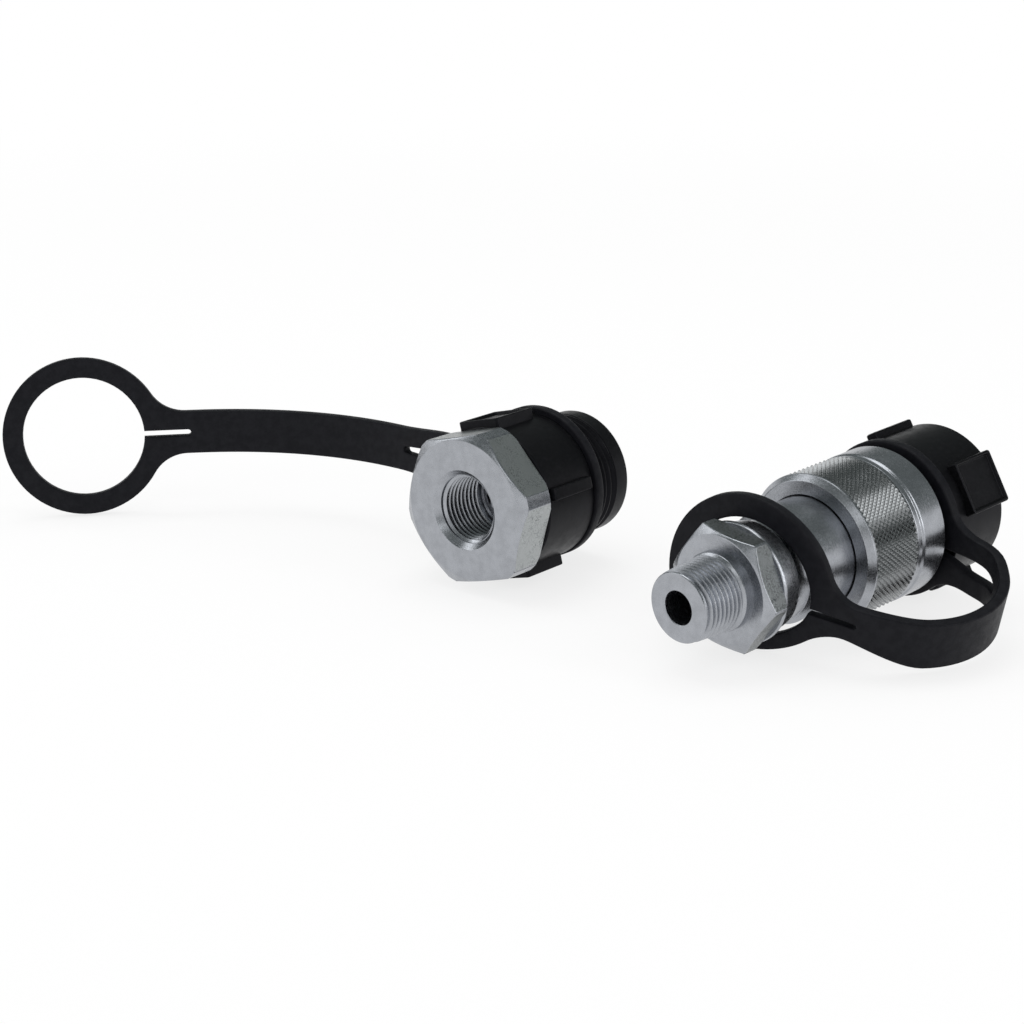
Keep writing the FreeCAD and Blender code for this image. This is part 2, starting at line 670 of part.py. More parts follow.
def make_strap(name, runs, place, twist=0.0, fold_tilt=None):
    """Strap in one piece: seat ring at its origin, strap along +X, loop at its end."""
    outer, hole, seat = worked("loop_outer"), worked("loop_hole"), worked("seat_outer")
    seat_root = flare_end(seat) + worked("flare_tail")
    loop_root = flare_end(outer) + worked("flare_tail")
    runs = [[worked(length), worked(radius), worked(turn)] for length, radius, turn in runs]
    runs[0][0] -= seat_root
    runs[-1][0] -= loop_root
    solids, end = ribbon(seat_root, runs, twist)
    loop_place = end * Placement(Vector(loop_root, 0, 0), Rotation(Z_AXIS, 180))
    loop_parts = [ring_plate(outer, hole)]
    if fold_tilt is not None:
        loop_parts = folded_loop(loop_parts[0], place * loop_place, fold_tilt)
    seat_slit = slit_cutter(worked("seat_hole"), worked("seat_slit_length"))
    loop_slit = slit_cutter(hole, worked("slit_length"))
    for item in loop_parts + [loop_slit]:
        item.Placement = loop_place * item.Placement
    whole = ring_plate(seat, worked("seat_hole")).multiFuse(solids + loop_parts)
    whole = whole.cut([seat_slit, loop_slit]).removeSplitter()
    if len(whole.Solids) != 1:
        raise ValueError(name + " is not one solid")
    strap = doc.addObject("Part::Feature", name)
    strap.Shape = whole.Solids[0]
    strap.Placement = place
    return strap


# Layout on the floor

def place_all(items, place):
    for item in items:
        item.Placement = place


def make_female_half():
    place = Placement(Vector(0, 0, worked("loop_outer - strap_raise")),
                      Rotation(Y_AXIS, -worked("clocking")))
    seat = worked("female_hex_length + cap_gap + grip_length")
    cap = make_cap("female_cap")
    place_all([make_female_body()] + make_valve("female", "female_seat", "female_guide_radius")
              + make_female_rings(), place)
    place_all([cap], place * Placement(Vector(0, seat, 0), Rotation()))
    ring_centre = Vector(0, seat + worked("seat_play + strap_thick / 2"), worked("loop_outer"))
    runs = [("female_run_out", "female_bend", "female_turn"), ("female_run_back", "0", "0")]
    make_strap("female_strap", runs, Placement(ring_centre, Rotation(Y_AXIS, 180)))


def make_male_half():
    place = Placement(Vector(worked("male_right"), -worked("male_forward"),
                             worked("male_height")),
                      Rotation(Z_AXIS, -worked("male_yaw"))
                      * Rotation(X_AXIS, worked("male_rise")))
    place_all([make_male_body(), make_nose(), make_collar()] + make_male_rings()
              + make_valve("male", "male_seat", "male_guide_radius"), place)
    cap_turn = Rotation(Y_AXIS, worked("male_cap_clock")) * Rotation(Z_AXIS, 180)
    seat = Vector(0, worked(MALE_CAP_SEAT), 0)
    place_all([make_cap("male_cap")], place * Placement(seat, cap_turn))
    drop = Rotation(Y_AXIS, worked("strap_drop"))
    ring_centre = Vector(0, worked(MALE_CAP_SEAT + " - seat_play - strap_thick / 2"), 0) \
        - drop.multVec(Z_AXIS) * worked("strap_sag")
    runs = [("male_run_out", "first_bend", "first_turn"),
            ("side_run", "second_bend", "second_turn"), ("male_run_back", "0", "0")]
    make_strap("male_strap", runs, place * Placement(ring_centre, drop),
               twist=worked("strap_skew"), fold_tilt=worked("strap_drop"))


make_female_half()
make_male_half()
doc.recompute()

# The origin is the bottom centre of the whole, so everything shifts by the same amount
pieces = [item for item in doc.Objects if item.TypeId in ("PartDesign::Body", "Part::Feature")]
whole_box = FreeCAD.BoundBox()
for piece in pieces:
    whole_box.add(piece.Shape.BoundBox)
shift = Vector(-whole_box.Center.x, -whole_box.Center.y, -whole_box.ZMin)
for piece in pieces:
    piece.Placement = Placement(shift, Rotation()) * piece.Placement
doc.recompute()

# Nothing is written unless every object is sound
for item in doc.Objects:
    if "Invalid" in item.State or "Error" in item.State:
        raise ValueError(item.Name + " failed to build")
for piece in pieces:
    if piece.Shape.isNull() or not piece.Shape.isValid() or len(piece.Shape.Solids) != 1:
        raise ValueError(piece.Label + " is not one valid solid")

os.makedirs("parts", exist_ok=True)
for piece in pieces:
    piece.Shape.exportStep("parts/%s.step" % piece.Label)
print("pieces", len(pieces), "size", whole_box.XLength, whole_box.YLength, whole_box.ZLength)
print("origin shift", shift.x, shift.y, shift.z)
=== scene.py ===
import bpy
import bmesh
import json
import math
from mathutils import Matrix, Vector


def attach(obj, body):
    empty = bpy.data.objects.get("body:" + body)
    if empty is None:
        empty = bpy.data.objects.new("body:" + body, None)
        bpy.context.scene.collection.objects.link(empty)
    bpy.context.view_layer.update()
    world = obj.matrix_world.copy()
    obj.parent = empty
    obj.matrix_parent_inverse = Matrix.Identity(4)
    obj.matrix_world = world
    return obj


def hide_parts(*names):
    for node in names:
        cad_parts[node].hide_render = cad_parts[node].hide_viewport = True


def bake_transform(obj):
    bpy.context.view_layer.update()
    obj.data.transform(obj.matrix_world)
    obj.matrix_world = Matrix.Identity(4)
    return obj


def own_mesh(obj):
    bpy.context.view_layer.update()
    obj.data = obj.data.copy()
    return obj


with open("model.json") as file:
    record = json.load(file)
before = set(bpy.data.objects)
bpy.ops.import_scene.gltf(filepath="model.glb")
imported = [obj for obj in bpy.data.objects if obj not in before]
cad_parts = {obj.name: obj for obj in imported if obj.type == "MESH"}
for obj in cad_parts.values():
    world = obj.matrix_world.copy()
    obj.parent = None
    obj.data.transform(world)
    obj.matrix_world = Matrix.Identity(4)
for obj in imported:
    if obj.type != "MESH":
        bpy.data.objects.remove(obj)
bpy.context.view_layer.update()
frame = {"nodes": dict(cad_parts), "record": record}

# Screw-to-connect hydraulic coupler shown apart. Every piece is drawn in millimetres in the
# frame of its own half: X to the right, Y along the axis from the port end, Z up.

mm = 0.001
fullTurn = 2 * math.pi
nodes = frame["nodes"]
mounts = {mount["name"]: mount for mount in frame["record"]["mounts"]}


# Frame of one half, worked out from a mount whose opening lies at a known depth
def halfPlace(mountName, depth):
    mount = mounts[mountName]
    axis = -Vector(mount["axis"]).normalized()
    origin = Vector(mount["pos_m"]) - axis * depth * mm
    right = axis.cross(Vector((0, 0, 1))).normalized()
    turn = Matrix((right, axis, right.cross(axis))).transposed().to_4x4()
    return Matrix.Translation(origin) @ turn @ Matrix.Diagonal((mm, mm, mm, 1))


def shift(x=0.0, y=0.0, z=0.0):
    return Matrix.Translation((x, y, z))


def turned(degrees, axis):
    return Matrix.Rotation(math.radians(degrees), 4, axis)


layout = {"femaleDepth": 8.0, "maleDepth": 6.0, "clocking": -15.0, "femaleSeat": 26.45,
          "maleSeat": 72.5, "maleCapClock": 60.7}
femaleHalf = halfPlace("female_port", layout["femaleDepth"])
maleHalf = halfPlace("male_bore", layout["maleDepth"])
femaleTurned = femaleHalf @ turned(layout["clocking"], "Y")
femaleCapPlace = femaleTurned @ shift(y=layout["femaleSeat"])
maleCapPlace = maleHalf @ shift(y=layout["maleSeat"]) @ turned(layout["maleCapClock"], "Y") @ turned(180, "Z")


# Camera

cameraSet = {"right": 292.4, "back": -326.3, "height": 160.5, "lens": 70.3125, "tilt": 72.2, "turn": 40.4,
             "sensor": 36.0}


def makeCamera():
    data = bpy.data.cameras.new("camera")
    data.lens = cameraSet["lens"]
    data.sensor_width = cameraSet["sensor"]
    data.clip_start = 0.01
    camera = bpy.data.objects.new("camera", data)
    bpy.context.scene.collection.objects.link(camera)
    base = femaleHalf.translation
    camera.location = (base.x + cameraSet["right"] * mm, base.y + cameraSet["back"] * mm,
                       cameraSet["height"] * mm)
    camera.rotation_euler = (math.radians(cameraSet["tilt"]), 0, math.radians(cameraSet["turn"]))
    bpy.context.scene.camera = camera


makeCamera()
print("camera placed")


# Node helpers

def addNode(tree, kind, **settings):
    made = tree.nodes.new(kind)
    for name, value in settings.items():
        if name.startswith("in_"):
            made.inputs[name[3:].replace("_", " ")].default_value = value
        else:
            setattr(made, name, value)
    return made


def join(tree, source, target):
    tree.links.new(source, target)


def mathNode(tree, operation, first, second=None):
    made = addNode(tree, "ShaderNodeMath", operation=operation)
    for index, value in enumerate((first, second)):
        if value is None:
            continue
        if isinstance(value, (int, float)):
            made.inputs[index].default_value = value
        else:
            join(tree, value, made.inputs[index])
    return made.outputs[0]


def newGroup(name, inputs, outputs):
    tree = bpy.data.node_groups.new(name, "ShaderNodeTree")
    for label, kind, value in inputs:
        socket = tree.interface.new_socket(name=label, in_out="INPUT", socket_type=kind)
        if value is not None:
            socket.default_value = value
    for label, kind in outputs:
        tree.interface.new_socket(name=label, in_out="OUTPUT", socket_type=kind)
    return tree, tree.nodes.new("NodeGroupInput"), tree.nodes.new("NodeGroupOutput")


def noise(tree, vector, scale, detail=2.0, rough=0.5, dimensions="3D"):
    made = addNode(tree, "ShaderNodeTexNoise", noise_dimensions=dimensions)
    made.inputs["Scale"].default_value = scale
    made.inputs["Detail"].default_value = detail
    made.inputs["Roughness"].default_value = rough
    if vector is not None:
        join(tree, vector, made.inputs["W" if dimensions == "1D" else "Vector"])
    return made.outputs[0]


def spread(tree, value, low, high, newLow=0.0, newHigh=1.0):
    made = addNode(tree, "ShaderNodeMapRange", interpolation_type="SMOOTHSTEP")
    join(tree, value, made.inputs["Value"])
    for label, number in (("From Min", low), ("From Max", high), ("To Min", newLow), ("To Max", newHigh)):
        made.inputs[label].default_value = number
    return made.outputs[0]


# Fine marks that a lathe leaves round the axis: they change with radius and with station
def makeLatheGroup():
    tree, start, end = newGroup(
        "latheMarks",
        [("Vector", "NodeSocketVector", None), ("Marks", "NodeSocketFloat", 9.0),
         ("Break Up", "NodeSocketFloat", 0.35)],
        [("Rings", "NodeSocketFloat"), ("Patches", "NodeSocketFloat")])
    split = addNode(tree, "ShaderNodeSeparateXYZ")
    join(tree, start.outputs["Vector"], split.inputs[0])
    squares = mathNode(tree, "ADD", mathNode(tree, "MULTIPLY", split.outputs[0], split.outputs[0]),
                       mathNode(tree, "MULTIPLY", split.outputs[2], split.outputs[2]))
    along = mathNode(tree, "ADD", mathNode(tree, "SQRT", squares), split.outputs[1])
    fine = noise(tree, mathNode(tree, "MULTIPLY", along, start.outputs["Marks"]), 1.0, 3.0, 0.7, "1D")
    patches = noise(tree, start.outputs["Vector"], 0.35, 3.0, 0.6)
    grain = noise(tree, start.outputs["Vector"], 5.0, 2.0, 0.6)
    broken = mathNode(tree, "MULTIPLY", mathNode(tree, "SUBTRACT", grain, 0.5), start.outputs["Break Up"])
    join(tree, mathNode(tree, "ADD", fine, broken), end.inputs["Rings"])
    join(tree, patches, end.inputs["Patches"])
    return tree


# Tiny pits and scratches of drawn and plated bar
def makePitGroup():
    tree, start, end = newGroup(
        "platingPits",
        [("Vector", "NodeSocketVector", None), ("Density", "NodeSocketFloat", 0.55),
         ("Size", "NodeSocketFloat", 4.0)],
        [("Pits", "NodeSocketFloat"), ("Scuffs", "NodeSocketFloat")])
    scaled = addNode(tree, "ShaderNodeVectorMath", operation="SCALE")
    join(tree, start.outputs["Vector"], scaled.inputs[0])
    join(tree, start.outputs["Size"], scaled.inputs["Scale"])
    fine = noise(tree, scaled.outputs[0], 1.0, 4.0, 0.75)
    pits = addNode(tree, "ShaderNodeMapRange", interpolation_type="SMOOTHSTEP")
    join(tree, fine, pits.inputs["Value"])
    join(tree, start.outputs["Density"], pits.inputs["From Min"])
    join(tree, mathNode(tree, "ADD", start.outputs["Density"], 0.13), pits.inputs["From Max"])
    join(tree, pits.outputs[0], end.inputs["Pits"])
    join(tree, spread(tree, noise(tree, start.outputs["Vector"], 1.3, 5.0, 0.7), 0.45, 0.7), end.inputs["Scuffs"])
    return tree


latheGroup = makeLatheGroup()
pitGroup = makePitGroup()


def newMaterial(name, place):
    material = bpy.data.materials.new(name)
    material.use_nodes = True
    tree = material.node_tree
    shader = tree.nodes["Principled BSDF"]
    coordinates = addNode(tree, "ShaderNodeTexCoord")
    mapping = addNode(tree, "ShaderNodeMapping")
    location, rotation, scale = place.inverted().decompose()
    mapping.inputs["Location"].default_value = location
    mapping.inputs["Rotation"].default_value = rotation.to_euler("XYZ")
    mapping.inputs["Scale"].default_value = scale
    join(tree, coordinates.outputs["Object"], mapping.inputs["Vector"])
    return material, tree, shader, mapping.outputs[0]


def useGroup(tree, group, vector, **values):
    made = addNode(tree, "ShaderNodeGroup", node_tree=group)
    join(tree, vector, made.inputs["Vector"])
    for name, value in values.items():
        made.inputs[name.replace("_", " ")].default_value = value
    return made


def blendColor(tree, factor, first, second):
    made = addNode(tree, "ShaderNodeMix", data_type="RGBA")
    join(tree, factor, made.inputs["Factor"])
    for index, value in ((6, first), (7, second)):
        if isinstance(value, tuple):
            made.inputs[index].default_value = (*value, 1.0)
        else:
            join(tree, value, made.inputs[index])
    return made.outputs[2]


def addBump(tree, shader, height, distance, strength=1.0):
    bump = addNode(tree, "ShaderNodeBump", in_Strength=strength, in_Distance=distance)
    join(tree, height, bump.inputs["Height"])
    join(tree, bump.outputs[0], shader.inputs["Normal"])


# Plated steel: bright turned surfaces, or the duller speckled flats of the bar. Darker copies of it are painted
# shade: on the male hex flats and on the knurl.
def makeSteel(name, place, bright=(0.385, 0.4, 0.43), dark=(0.18, 0.19, 0.2), pits=0.58, pitSize=4.0,
              rough=(0.2, 0.33), marks=9.0, relief=0.006):
    material, tree, shader, vector = newMaterial(name, place)
    shader.inputs["Metallic"].default_value = 1.0
    lathe = useGroup(tree, latheGroup, vector, Marks=marks)
    plating = useGroup(tree, pitGroup, vector, Density=pits, Size=pitSize)
    color = blendColor(tree, plating.outputs["Pits"], bright, dark)
    shade = spread(tree, lathe.outputs["Patches"], 0.3, 0.7)
    color = blendColor(tree, shade, color, tuple(channel * 0.86 for channel in bright))
    join(tree, color, shader.inputs["Base Color"])
    level = mathNode(tree, "ADD", spread(tree, lathe.outputs["Rings"], 0.3, 0.7, rough[0], rough[1]),
                     mathNode(tree, "MULTIPLY", plating.outputs["Scuffs"], 0.08))
    join(tree, level, shader.inputs["Roughness"])
    pitHeight = mathNode(tree, "MULTIPLY", plating.outputs["Pits"], 0.8)
    height = mathNode(tree, "SUBTRACT", lathe.outputs["Rings"], pitHeight)
    addBump(tree, shader, height, relief * mm)
    return material


# Semi-gloss moulded plastic
def makePlastic(name, place):
    material, tree, shader, vector = newMaterial(name, place)
    shader.inputs["Specular IOR Level"].default_value = 0.13
    shader.inputs["Specular Tint"].default_value = (0.86, 0.86, 1.0, 1.0)
    lathe = useGroup(tree, latheGroup, vector, Marks=3.0, Break_Up=0.2)
    plating = useGroup(tree, pitGroup, vector, Density=0.56, Size=2.0)
    color = blendColor(tree, plating.outputs["Scuffs"], (0.0032, 0.0033, 0.0038), (0.007, 0.0072, 0.008))
    join(tree, color, shader.inputs["Base Color"])
    level = mathNode(tree, "ADD", spread(tree, lathe.outputs["Patches"], 0.3, 0.7, 0.3, 0.4),
                     mathNode(tree, "MULTIPLY", plating.outputs["Scuffs"], 0.1))
    join(tree, level, shader.inputs["Roughness"])
    addBump(tree, shader, noise(tree, vector, 3.2, 3.0, 0.6), 0.012 * mm)
    return material


# Matt strap rubber with a faint mould texture
def makeRubber(name, place, color=((0.006, 0.0062, 0.0085), (0.009, 0.0093, 0.012)), rough=(0.46, 0.54)):
    material, tree, shader, vector = newMaterial(name, place)
    shader.inputs["Specular IOR Level"].default_value = 0.11
    plating = useGroup(tree, pitGroup, vector, Density=0.5, Size=3.0)
    cloudy = noise(tree, vector, 0.5, 4.0, 0.6)
    join(tree, blendColor(tree, spread(tree, cloudy, 0.35, 0.65), color[0], color[1]), shader.inputs["Base Color"])
    join(tree, spread(tree, cloudy, 0.3, 0.7, rough[1], rough[0]), shader.inputs["Roughness"])
    pitHeight = mathNode(tree, "MULTIPLY", plating.outputs["Pits"], 0.3)
    height = mathNode(tree, "ADD", noise(tree, vector, 2.6, 4.0, 0.6), pitHeight)
    addBump(tree, shader, height, 0.02 * mm)
    return material


# Pale turned plastic of the backup ring
def makeBackup(name, place):
    material, tree, shader, vector = newMaterial(name, place)
    lathe = useGroup(tree, latheGroup, vector, Marks=5.0)
    color = blendColor(tree, lathe.outputs["Patches"], (0.8, 0.79, 0.75), (0.86, 0.85, 0.81))
    join(tree, color, shader.inputs["Base Color"])
    join(tree, spread(tree, lathe.outputs["Rings"], 0.3, 0.7, 0.35, 0.5), shader.inputs["Roughness"])
    return material


femaleSteel = makeSteel("steel", femaleTurned)
femaleFlats = makeSteel("steelFlats", femaleTurned, bright=(0.45, 0.47, 0.475), dark=(0.17, 0.185, 0.185),
                        pits=0.46, pitSize=2.8, rough=(0.28, 0.4), relief=0.012)
maleSteel = makeSteel("steelMale", maleHalf)
# Male hex flats: a darker copy of the steel. The lowered base colour and the near-black pit tone are painted shade
# standing in for the flats' dark reflection; the pits themselves are the bar's speckle.
maleFlatsPaintedShade = makeSteel("steelFlatsMalePaintedShade", maleHalf, bright=(0.24, 0.255, 0.26), dark=(0.02, 0.023, 0.025), pits=0.45,
                      pitSize=2.8, rough=(0.26, 0.38), relief=0.014)
# Knurled band: a darker copy of the collar's steel; its lowered base colour is painted shade of the knurl.
knurlSteelPaintedShade = makeSteel("steelKnurlPaintedShade", maleHalf, bright=(0.24, 0.25, 0.256), dark=(0.06, 0.064, 0.068),
                       rough=(0.16, 0.26))
springSteelFemale = makeSteel("springSteel", femaleHalf, bright=(0.5, 0.5, 0.52), dark=(0.3, 0.3, 0.31),
                              marks=2.0)
springSteelMale = makeSteel("springSteelMale", maleHalf, bright=(0.5, 0.5, 0.52), dark=(0.3, 0.3, 0.31),
                            marks=2.0)
femalePlastic = makePlastic("capPlastic", femaleCapPlace)
malePlastic = makePlastic("capPlasticMale", maleCapPlace)
femaleRubber = makeRubber("strapRubber", femaleHalf)
maleRubber = makeRubber("strapRubberMale", maleHalf)
sealRubber = makeRubber("sealRubber", femaleHalf, ((0.02, 0.02, 0.02), (0.03, 0.03, 0.03)), (0.3, 0.4))
sealRubberMale = makeRubber("sealRubberMale", maleHalf, ((0.02, 0.02, 0.02), (0.03, 0.03, 0.03)), (0.3, 0.4))
backupPlastic = makeBackup("backupPlastic", femaleHalf)
print("materials made")


# Mesh helpers

# Closed outline of (radius, station, rounding) turned about the Y axis
def lathe(bm, corners, steps=128):
    part = bmesh.new()
    points = [part.verts.new((corner[0], corner[1], 0)) for corner in corners]
    for first, second in zip(points, points[1:] + points[:1]):
        part.edges.new((first, second))
    for point, corner in zip(points, corners):
        if len(corner) > 2:
            bmesh.ops.bevel(part, geom=[point], offset=corner[2], offset_type="OFFSET", segments=3, profile=0.5,
                            affect="VERTICES", material=-1)
    bmesh.ops.spin(part, geom=part.verts[:] + part.edges[:], cent=(0, 0, 0), axis=(0, 1, 0), angle=fullTurn,
                   steps=steps, use_merge=True)
    bmesh.ops.remove_doubles(part, verts=part.verts, dist=0.0005)
    bmesh.ops.dissolve_degenerate(part, edges=part.edges, dist=0.0002)
    bmesh.ops.recalc_face_normals(part, faces=part.faces)
    addPart(bm, part)


def addPart(bm, part):
    mesh = bpy.data.meshes.new("part")
    part.to_mesh(mesh)
    part.free()
    bm.from_mesh(mesh)
    bpy.data.meshes.remove(mesh)


# Mills flats square to the axis on a turned bar
def millFlats(part, across, count=6, first=0.0, edgeBevel=0.2, flatMaterial=1):
    for index in range(count):
        angle = first + fullTurn * index / count
        normal = Vector((math.cos(angle), 0, math.sin(angle)))
        cut = bmesh.ops.bisect_plane(part, geom=part.verts[:] + part.edges[:] + part.faces[:],
                                     plane_co=normal * across / 2, plane_no=normal, clear_outer=True, dist=0.0001)
        rim = [item for item in cut["geom_cut"] if isinstance(item, bmesh.types.BMEdge)]
        bmesh.ops.edgeloop_fill(part, edges=rim, mat_nr=flatMaterial)
    bmesh.ops.recalc_face_normals(part, faces=part.faces)
    rims = [edge for edge in part.edges if len({face.material_index for face in edge.link_faces}) == 2]
    bmesh.ops.bevel(part, geom=rims, offset=edgeBevel, offset_type="OFFSET", segments=2, profile=0.5, affect="EDGES",
                    material=0)
    for edge in part.edges:
        if len({face.material_index for face in edge.link_faces}) == 2:
            edge.smooth = False


# Ridge of a screw thread, run out into the wall at both ends
def threadRidge(bm, radius, depth, pitch, start, turns, base=0.88, crest=0.14, steps=72, taper=0.0, sink=0.12,
                runOut=0.35, material=0):
    part = bmesh.new()
    way = 1 if depth > 0 else -1
    section = [(radius - way * sink, -base / 2), (radius + depth, -crest / 2), (radius + depth, crest / 2),
               (radius - way * sink, base / 2)]
    face = part.faces.new([part.verts.new((r, start + pitch * along, 0)) for r, along in section])
    count = int(round(steps * turns))
    bmesh.ops.spin(part, geom=[face] + face.edges[:] + face.verts[:], cent=(0, 0, 0), axis=(0, 1, 0),
                   dvec=(0, pitch / steps, 0), angle=fullTurn * turns, steps=count)
    bmesh.ops.remove_doubles(part, verts=part.verts, dist=0.0005)
    open_ = [edge for edge in part.edges if edge.is_boundary]
    if open_:
        bmesh.ops.holes_fill(part, edges=open_, sides=0)
    for vert in part.verts:
        station = vert.co.y
        reach = math.hypot(vert.co.x, vert.co.z)
        done = (station - start) / pitch
        fade = max(0.0, min(1.0, min(done + 0.1, turns - done + 0.1) / runOut))
        fade = fade * fade * (3 - 2 * fade)
        wall = radius - way * sink
        wanted = wall + (reach - wall) * fade + taper * (station - start)
        if reach > 0:
            vert.co.x *= wanted / reach
            vert.co.z *= wanted / reach
    bmesh.ops.recalc_face_normals(part, faces=part.faces)
    for face in part.faces:
        face.material_index = material
    addPart(bm, part)


def finishPiece(name, bm, place, materials, body, replaced, sharp=32.0, weighted=True):
    mesh = bpy.data.meshes.new(name)
    bm.transform(place)
    bm.to_mesh(mesh)
    bm.free()
    piece = bpy.data.objects.new(name, mesh)
    bpy.context.scene.collection.objects.link(piece)
    for material in materials:
        mesh.materials.append(material)
    mesh.shade_smooth()
    mesh.set_sharp_from_angle(angle=math.radians(sharp))
    if weighted:
        normals = piece.modifiers.new("normals", "WEIGHTED_NORMAL")
        normals.keep_sharp = True
    if body:
        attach(piece, body)
    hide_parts(*replaced)
    return piece


# Female body: hexagon, threaded port, outer screw and pilot

femaleBody = {"across": 34.0, "bar": 18.85, "face": 16.5, "hexLength": 9.9, "portRoot": 8.06, "portCrest": 7.34,
              "sink": 9.5, "portDepth": 14.4, "portPitch": 1.34, "portTurns": 9.2, "edge": 0.22,
              "screwRoot": 14.05, "screwCrest": 14.95, "screwPitch": 3.0}


def makeFemaleBody():
    d = femaleBody
    chamfer = (d["bar"] - d["face"]) * math.tan(math.radians(30))
    bm = bmesh.new()
    nut = bmesh.new()
    lathe(nut, [(d["sink"], 0, 0.12), (d["face"], 0, 0.15), (d["bar"], chamfer), (d["bar"], d["hexLength"] - 0.8),
                (d["bar"] - 0.8, d["hexLength"]), (12.5, d["hexLength"]), (12.5, 4.0), (d["portRoot"], 1.45)], 180)
    millFlats(nut, d["across"], first=math.radians(30), edgeBevel=d["edge"])
    addPart(bm, nut)
    # port wall, chamber behind it and socket in one turned sleeve
    lathe(bm, [(12.6, 3.0), (d["portRoot"], 1.3), (d["portRoot"], d["portDepth"]), (7.1, d["portDepth"]), (7.1, 27.0),
               (4.2, 29.9), (4.2, 30.4), (8.5, 30.4), (8.5, 32.25), (10.25, 32.25), (10.25, 35.15), (8.5, 35.15),
               (8.5, 36.0), (9.0, 36.5, 0.1), (11.8, 36.5, 0.1), (12.4, 35.9, 0.1), (12.4, 25.0), (14.05, 25.0, 0.4),
               (14.05, 9.5), (12.6, 9.5)], 128)
    threadRidge(bm, d["portRoot"], d["portCrest"] - d["portRoot"], d["portPitch"], 1.75, d["portTurns"], crest=0.2)
    threadRidge(bm, d["screwRoot"], d["screwCrest"] - d["screwRoot"], d["screwPitch"], 12.6, 4.0, base=0.7,
                crest=0.22)
    finishPiece("femaleBodyPiece", bm, femaleTurned, [femaleSteel, femaleFlats], "halves",
                ["female_body"])


makeFemaleBody()
print("female body made")


# Male body: tapered tail thread, hexagon, washer rim, neck and barrel

maleBody = {"across": 25.4, "clock": 7.0, "bar": 14.6, "face": 12.2, "hexStart": 12.6, "hexEnd": 18.0, "bore": 3.73,
            "lip": 7.6, "tailStart": 7.9, "tailEnd": 8.5, "tailLength": 10.6, "threadDepth": 0.75, "pitch": 1.2,
            "turns": 8.4, "edge": 0.25, "washer": 13.6, "shoulder": 12.3, "neck": 11.5, "barrel": 12.8,
            "relief": 8.75, "chamber": 8.55, "passage": 7.1}


def makeMaleBody():
    d = maleBody
    chamfer = (d["bar"] - d["face"]) * math.tan(math.radians(30))
    taper = (d["tailEnd"] - d["tailStart"]) / d["tailLength"]
    rootStart = d["tailStart"] - d["threadDepth"]
    rootEnd = d["tailEnd"] - d["threadDepth"]
    bm = bmesh.new()
    nut = bmesh.new()
    lathe(nut, [(8.0, d["hexStart"]), (d["face"], d["hexStart"], 0.15), (d["bar"], d["hexStart"] + chamfer),
                (d["bar"], d["hexEnd"] - 0.5), (d["bar"] - 0.9, d["hexEnd"]), (8.0, d["hexEnd"])], 180)
    millFlats(nut, d["across"], first=math.radians(30 - d["clock"]), edgeBevel=d["edge"])
    addPart(bm, nut)
    # tail, washer rim, neck and barrel with its wire groove; then the bore behind the nose insert
    lathe(bm, [(d["bore"], 0, 0.25), (d["lip"], 0, 0.15), (d["lip"] + 0.2, 0.4, 0.1), (rootStart, 0.95),
               (rootEnd, d["tailLength"]), (d["relief"], d["tailLength"] + 0.7, 0.15),
               (d["relief"], d["hexEnd"] - 0.1), (d["washer"] - 0.15, d["hexEnd"] - 0.05, 0.15),
               (d["washer"], d["hexEnd"] + 0.9, 0.2), (d["shoulder"], d["hexEnd"] + 0.9, 0.12),
               (d["shoulder"], 23.8, 0.15), (d["neck"], 24.6, 0.15), (d["neck"], 28.4, 0.15),
               (d["barrel"], 29.7, 0.2), (d["barrel"], 44.35), (11.95, 45.2), (d["barrel"], 46.05),
               (d["barrel"], 47.8, 0.15), (10.3, 47.8), (10.3, 46.6), (d["chamber"], 46.6), (d["chamber"], 38.9),
               (d["passage"], 38.9), (d["passage"], 36.0), (d["bore"], 32.63)], 128)
    threadRidge(bm, rootStart + 0.02, d["threadDepth"], d["pitch"], 0.7, d["turns"], crest=0.14, taper=taper,
                runOut=0.5)
    finishPiece("maleBodyPiece", bm, maleHalf, [maleSteel, maleFlatsPaintedShade], "halves", ["male_body"])


makeMaleBody()
print("male body made")


# Knurled collar

collar = {"radius": 17.5, "start": 41.8, "end": 67.5, "bore": 13.05, "face": 17.0, "chamfer": 1.3,
          "screw": 15.3, "waist": 17.2, "knurlStart": 43.6, "knurlEnd": 58.4,
          "knurlRows": 20, "knurlAround": 180, "knurlDepth": 0.36}


